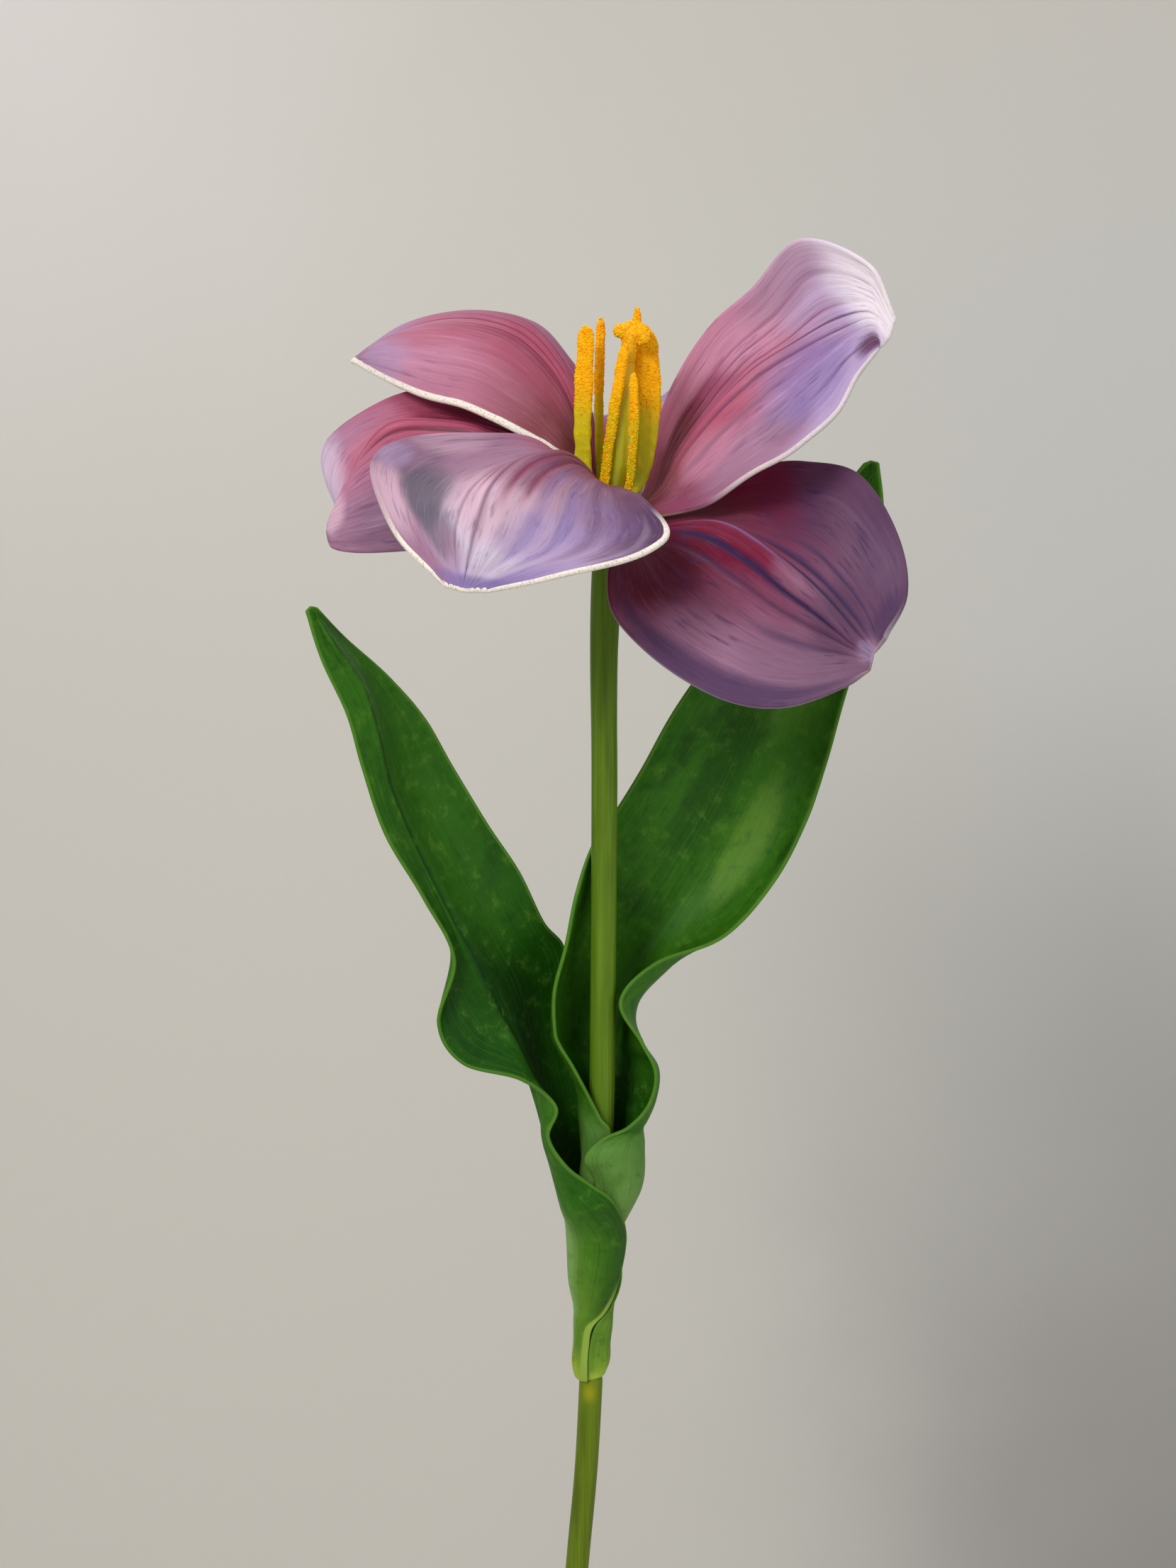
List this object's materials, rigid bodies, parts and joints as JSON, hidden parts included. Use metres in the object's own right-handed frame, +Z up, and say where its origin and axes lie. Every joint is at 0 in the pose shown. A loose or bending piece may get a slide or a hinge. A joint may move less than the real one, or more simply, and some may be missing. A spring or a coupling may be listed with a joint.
{
  "type": "artificial tulip",
  "caption": "Open artificial tulip on a wire-cored stem that bends, with leaves wrapped round it, spread petals that flex, and flocked stamens round a pistil.",
  "frame": {"origin": "centre of the stem's cut end", "axes": "+Z up the stem to the flower, +X to the right in the picture, +Y away from the viewer"},
  "size_m": [0.1231, 0.1301, 0.458],
  "materials": {
    "lower_stem": "satin olive green",
    "upper_stem": "satin green",
    "collar": "satin yellow-green",
    "leaf": "soft satin green with yellow-green edges",
    "petal": "matte mauve with magenta veins and pale rims",
    "flock": "flocked yellow-orange",
    "pistil": "glossy olive green",
    "core": "satin green",
    "wire": "drawn wire"
  },
  "bodies": {
    "stem_base": {"lower_stem": "lower_stem", "core_wire": "wire"},
    "stem_top": {"stem_collar": "collar", "upper_stem": "upper_stem", "core_wire_upper": "wire"},
    "left_leaf": {"leaf_left": "leaf"},
    "right_leaf": {"leaf_right": "leaf"},
    "head": {"head_pin": "core", "receptacle": "core", "stamen_disc": "pistil", "pistil": "pistil", "stamen_1": "flock", "stamen_2": "flock", "stamen_3": "flock", "stamen_4": "flock", "stamen_5": "flock", "stamen_6": "flock"},
    "upper_right_petal": {"petal_upper_right": "petal"},
    "upper_left_petal": {"petal_upper_left": "petal"},
    "front_petal": {"petal_front": "petal"},
    "back_petal": {"petal_back": "petal"},
    "far_left_petal": {"petal_far_left": "petal"},
    "lower_right_petal": {"petal_lower_right": "petal"}
  },
  "joints": [
    {"name": "stem_bend", "type": "hinge", "parent": "stem_base", "child": "stem_top", "pos_m": [0.0092, 0, 0.211], "axis": [0, 1, 0], "range_deg": [-15, 15]},
    {"name": "left_leaf_turn", "type": "hinge", "parent": "stem_top", "child": "left_leaf", "pos_m": [0.0092, 0, 0.211], "axis": [0.034, 0, 0.9994], "range_deg": [-8, 5]},
    {"name": "right_leaf_turn", "type": "hinge", "parent": "stem_top", "child": "right_leaf", "pos_m": [0.0092, 0, 0.211], "axis": [0.034, 0, 0.9994], "range_deg": [-5, 8]},
    {"name": "head_turn", "type": "hinge", "parent": "stem_top", "child": "head", "pos_m": [0.013, 0, 0.391], "axis": [0.0877, 0, 0.9962], "range_deg": [-40, 8]},
    {"name": "petal_upper_right_flex", "type": "hinge", "parent": "head", "child": "upper_right_petal", "pos_m": [0.01794, 0.00207, 0.4], "axis": [0.4226, -0.9063, 0], "range_deg": [-3, 12], "stiffness_Nm_per_rad": 0.08, "springref_deg": 0.92},
    {"name": "petal_upper_left_flex", "type": "hinge", "parent": "head", "child": "upper_left_petal", "pos_m": [0.00926, 0.00245, 0.4], "axis": [0.5, 0.866, 0], "range_deg": [0, 6], "stiffness_Nm_per_rad": 0.08},
    {"name": "petal_front_flex", "type": "hinge", "parent": "head", "child": "front_petal", "pos_m": [0.01282, -0.00485, 0.4], "axis": [-0.9903, 0.1392, 0], "range_deg": [-6, 10], "stiffness_Nm_per_rad": 0.08, "springref_deg": 0.92},
    {"name": "petal_back_flex", "type": "hinge", "parent": "head", "child": "back_petal", "pos_m": [0.01367, 0.0049, 0.397], "axis": [0.9994, -0.0349, 0], "range_deg": [-6, 8], "stiffness_Nm_per_rad": 0.08, "springref_deg": 0.92},
    {"name": "petal_far_left_flex", "type": "hinge", "parent": "head", "child": "far_left_petal", "pos_m": [0.00906, -0.00207, 0.397], "axis": [-0.4226, 0.9063, 0], "range_deg": [-8, 0], "stiffness_Nm_per_rad": 0.08, "springref_deg": 1.38},
    {"name": "petal_lower_right_flex", "type": "hinge", "parent": "head", "child": "lower_right_petal", "pos_m": [0.01736, -0.00302, 0.397], "axis": [-0.6157, -0.788, 0], "range_deg": [-8, 5], "stiffness_Nm_per_rad": 0.08, "springref_deg": 0.92}
  ]
}
